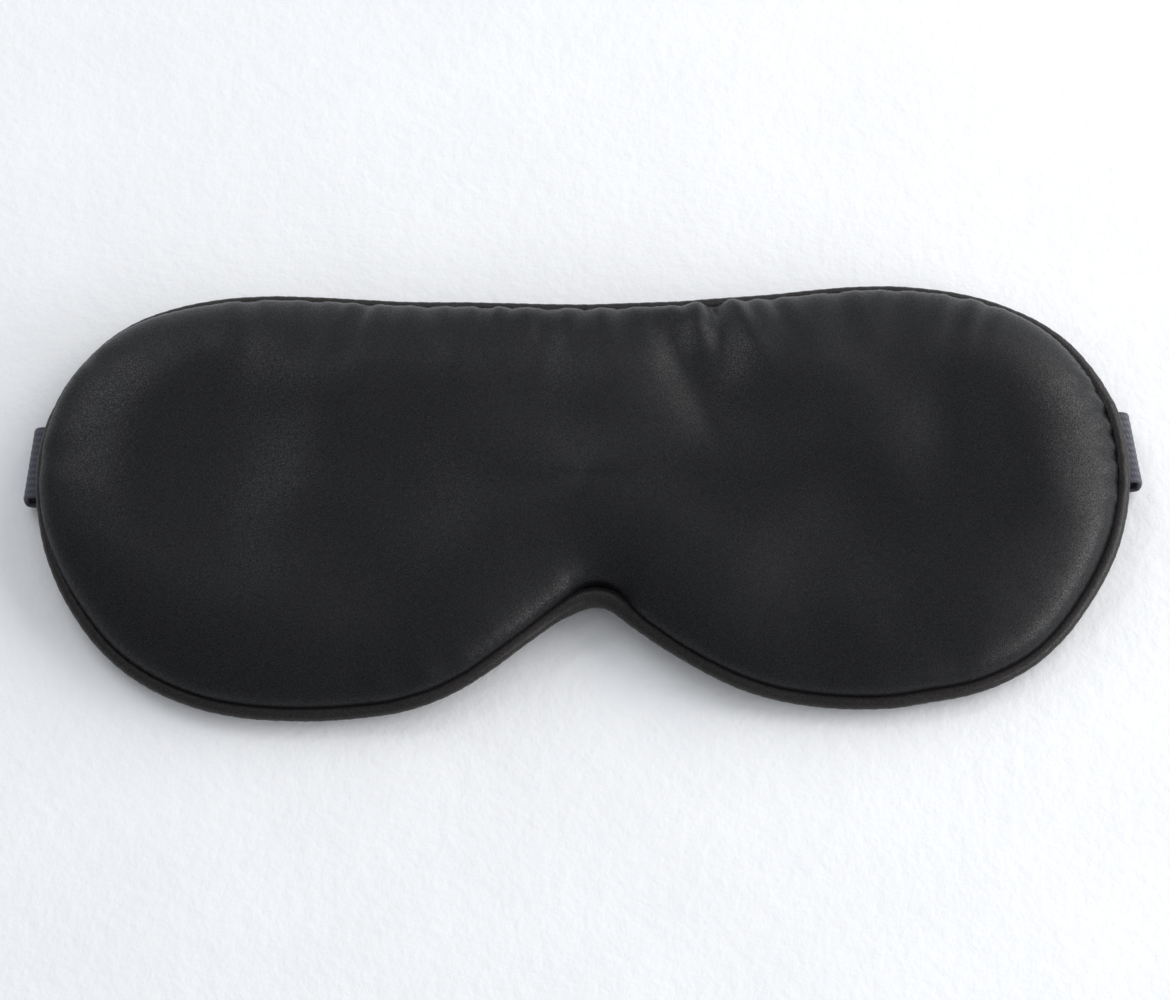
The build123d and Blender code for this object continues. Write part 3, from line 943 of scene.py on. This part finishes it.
def ribbed_elastic():
    """Knit loops between ribs; strap_u runs along the elastic in mm."""
    width_m, knit_pitch = 0.015, 0.55
    mat = Material("ribbed_elastic")
    vector = mat.coords()
    y = mat.node("ShaderNodeSeparateXYZ", {0: vector}).outputs["Y"]
    attribute = mat.node("ShaderNodeAttribute", {})
    attribute.attribute_name = "strap_u"
    across = mat.mul(y, TURN * RIBS / width_m)
    ribs = mat.add(mat.mul(mat.math("COSINE", across), 0.5), 0.5)
    along = mat.mul(attribute.outputs["Fac"], TURN / knit_pitch)
    slant = mat.add(along, mat.mul(across, 0.5))
    knit = mat.add(mat.mul(mat.math("SINE", slant), 0.5), 0.5)
    fuzz = mat.noise(vector, scale=1500)
    yarn = mat.mul(mat.add(mat.mul(knit, 0.5), mat.mul(fuzz, 0.5)), 1.0)
    height = mat.add(mat.mul(yarn, 0.55), mat.mul(ribs, 0.45))
    colour = mat.ramp(height, low=(0.15, (0.012, 0.012, 0.017)),
                      high=(0.85, (0.085, 0.085, 0.115)))
    mat.shade({"Base Color": colour, "Roughness": 0.72, "Sheen Weight": 0.25})
    mat.bump(height, strength=0.55, distance=0.0002)
    return mat.data


def woven(name, dark, light, scale, rough=0.85, bump_depth=0.0002):
    """Matt cloth or yarn of crossed threads."""
    mat = Material(name)
    vector = mat.coords()
    warp, weft = (mat.wave(vector, axis, scale, distortion=1.2) for axis in "XY")
    fuzz = mat.noise(vector, scale=scale * 0.8, detail=4, rough=0.65)
    height = mat.add(mat.mul(warp, weft), mat.mul(fuzz, 0.8))
    colour = mat.ramp(mat.mul(height, 0.6), low=(0.1, dark), high=(0.85, light))
    mat.shade({"Base Color": colour, "Roughness": rough, "Sheen Weight": 0.2})
    mat.bump(height, strength=0.5, distance=bump_depth)
    return mat.data


def slider_plastic():
    """Moulded plastic with a faint texture and lighter sharp edges."""
    mat = Material("slider_plastic_black")
    vector = mat.coords()
    grain = mat.noise(vector, scale=900, detail=4)
    drift = mat.noise(vector, scale=160, rough=0.5)
    pointiness = mat.node("ShaderNodeNewGeometry", {}).outputs["Pointiness"]
    # the colour is lighter along the sharp convex edges, found by pointiness
    lighter_edges = mat.ramp(pointiness, low=(0.50, BLACK), high=(0.60, WHITE))
    body = mat.ramp(drift, low=(0.3, (0.010, 0.010, 0.011)),
                    high=(0.7, (0.018, 0.018, 0.020)))
    colour = mat.mix(mat.mul(lighter_edges, 0.5), body, (0.05, 0.05, 0.053, 1))
    mat.shade({"Base Color": colour, "Roughness": mat.add(mat.mul(grain, 0.18), 0.24)})
    mat.bump(grain, strength=0.25, distance=0.00006)
    return mat.data


def painted_board():
    mat = Material("painted_board")
    vector = mat.coords()
    grain = mat.noise(vector, scale=260, detail=4, rough=0.55)
    drift = mat.noise(vector, scale=40, detail=2, rough=0.5)
    colour = mat.ramp(drift, low=(0.3, (0.865, 0.87, 0.885)),
                      high=(0.7, (0.895, 0.90, 0.915)))
    mat.shade({"Base Color": colour, "Roughness": 0.6, "Specular IOR Level": 0.25})
    fine = mat.noise(vector, scale=620)
    mat.bump(mat.add(grain, mat.mul(fine, 0.5)), strength=0.35, distance=0.0005)
    return mat.data


def set_material(ob, material):
    ob.data.materials.clear()
    ob.data.materials.append(material)


face_satin = satin("satin_black", dark=(0.0036, 0.0036, 0.0042),
                   light=(0.0092, 0.0092, 0.0110), rough=0.37, spec=0.25, sheen=0.02, glint=1.2)
back_satin = satin("satin_black_back", dark=(0.008, 0.008, 0.009),
                   light=(0.020, 0.020, 0.023), rough=0.50, spec=0.38, sheen=0.25)
# Painted light: the piping satin is lighter and warmer than the face satin, standing in for the
# bias-cut piping being lit differently.
pipe_satin = satin("satin_piping", dark=(0.0062, 0.0047, 0.0043),
                   light=(0.0150, 0.0116, 0.0106), rough=0.38, spec=0.34, sheen=0.08, weave=4600)
elastic_knit = ribbed_elastic()
lining_knit = woven("blackout_knit", dark=(0.006, 0.006, 0.007),
                    light=(0.02, 0.02, 0.022), scale=1400)
wad_fibre = woven("polyester_wadding", dark=(0.55, 0.54, 0.52),
                  light=(0.85, 0.84, 0.82), scale=420, bump_depth=0.0006)
cord_yarn = woven("cotton_cord_yarn", dark=(0.50, 0.47, 0.40),
                  light=(0.80, 0.77, 0.70), scale=1700)
thread_yarn = woven("sewing_thread", dark=(0.010, 0.010, 0.012),
                    light=(0.040, 0.040, 0.045), scale=5200, rough=0.6)
plastic = slider_plastic()

DRESSED = [
    (face, face_satin, "satin_face"), (back, back_satin, "satin_back"),
    (pipe, pipe_satin, "satin_piping"), (flange, pipe_satin, "satin_piping"),
    (cord, cord_yarn, "cotton_cord"), (lining, lining_knit, "blackout_cloth"),
    (wad, wad_fibre, "wadding"), (thread, thread_yarn, "thread")]
for piece, material, slot in DRESSED + [(ob, elastic_knit, "elastic") for ob in elastic]:
    set_material(piece, material)
for name in ("slider_stitching", "hem_stitching", "strap_bartack_left", "strap_bartack_right"):
    set_material(frame["nodes"][name], thread_yarn)
set_material(frame["nodes"]["slider"], plastic)


# ---------------------------------------------------------------- floor, light, camera
def floor_sheet(half=6000, n=60):
    line = np.linspace(-half, half, n)
    verts = [(x, y, 0.0) for y in line for x in line]
    faces = [(j * n + i, j * n + i + 1, (j + 1) * n + i + 1, (j + 1) * n + i)
             for j in range(n - 1) for i in range(n - 1)]
    return mesh_object("floor", verts, faces, orient=False)


def area_light(name, location, target, size, watts, colour):
    """Rectangular light aimed at a target, in metres."""
    light = bpy.data.lights.new(name, "AREA")
    light.shape = "RECTANGLE"
    light.size, light.size_y = size
    light.energy = watts
    light.color = colour
    ob = bpy.data.objects.new(name, light)
    ob.location = location
    aim = Vector(target) - Vector(location)
    ob.rotation_euler = aim.to_track_quat("-Z", "Y").to_euler()
    bpy.context.collection.objects.link(ob)


def add_camera(elevation, azimuth, distance, target, lens, shift):
    """Camera looking at the target; angles in degrees, distances in metres."""
    elevation, azimuth = math.radians(elevation), math.radians(azimuth)
    backward = Vector((math.sin(azimuth) * math.cos(elevation),
                       -math.cos(azimuth) * math.cos(elevation), math.sin(elevation)))
    right = Vector((math.cos(azimuth), math.sin(azimuth), 0))
    up = backward.cross(right)
    place = Vector(target) + backward * distance
    camera = bpy.data.cameras.new("camera")
    camera.sensor_fit = "HORIZONTAL"
    camera.sensor_width = 36.0
    camera.lens = lens
    camera.shift_x, camera.shift_y = shift
    camera.clip_start = 0.01
    camera.clip_end = 20
    ob = bpy.data.objects.new("camera", camera)
    rows = [(right[k], up[k], backward[k], place[k]) for k in range(3)]
    ob.matrix_world = Matrix((*rows, (0, 0, 0, 1)))
    bpy.context.collection.objects.link(ob)
    bpy.context.scene.camera = ob


floor = floor_sheet()
set_material(floor, painted_board())

world = bpy.data.worlds.new("studio")
world.use_nodes = True
background = world.node_tree.nodes["Background"]
background.inputs["Color"].default_value = (0.93, 0.96, 1.0, 1)
background.inputs["Strength"].default_value = 0.53
bpy.context.scene.world = world

area_light("window", location=(1.02, 0.55, 0.62), target=(0.05, 0, 0),
           size=(1.3, 0.85), watts=12.9, colour=(1, 0.995, 0.985))
area_light("side", location=(0.98, -0.30, 0.30), target=(0.05, 0, 0),
           size=(0.9, 0.30), watts=6.8, colour=WHITE)
area_light("fill", location=(-0.75, 0.95, 1.0), target=(0, 0, 0),
           size=(0.8, 0.8), watts=5.2, colour=(0.97, 0.98, 1))
add_camera(elevation=65, azimuth=-0.9, distance=0.700,
           target=(SHIFT_X * MM, SHIFT_Y * MM, 0.006),
           lens=112.5384615, shift=(-0.0025641026, 0.0059829060))
bpy.context.scene.view_settings.view_transform = "Standard"
bpy.context.scene.view_settings.look = "None"
